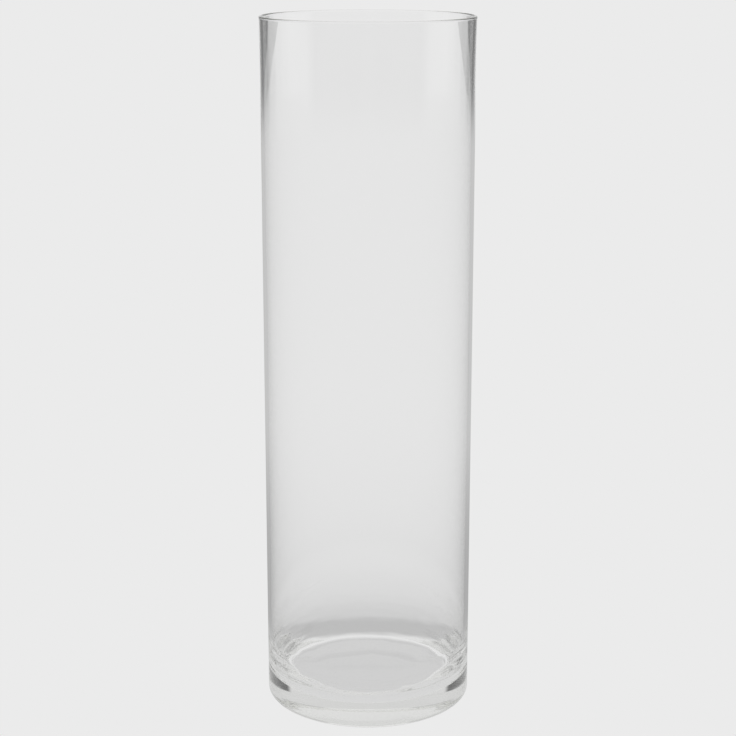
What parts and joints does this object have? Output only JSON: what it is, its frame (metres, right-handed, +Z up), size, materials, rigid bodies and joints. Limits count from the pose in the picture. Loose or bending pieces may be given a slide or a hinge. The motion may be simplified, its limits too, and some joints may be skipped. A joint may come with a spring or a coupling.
{
  "type": "cylinder vase",
  "caption": "Tall clear glass cylinder vase with a straight thin wall, a heavy base and a rounded rim, open at the top.",
  "frame": {"origin": "centre of the circle that the base stands on, at the height of the surface under it", "axes": "+Z up, along the vase's axis from the base to the mouth; +X and +Y are free, as the vase is round"},
  "size_m": [0.121, 0.121, 0.4],
  "materials": {
    "clear_glass": "clear soda-lime glass, blown in a mould, fire-polished and glossy"
  },
  "bodies": {
    "root": {"glass_vase": "clear_glass"}
  },
  "joints": []
}
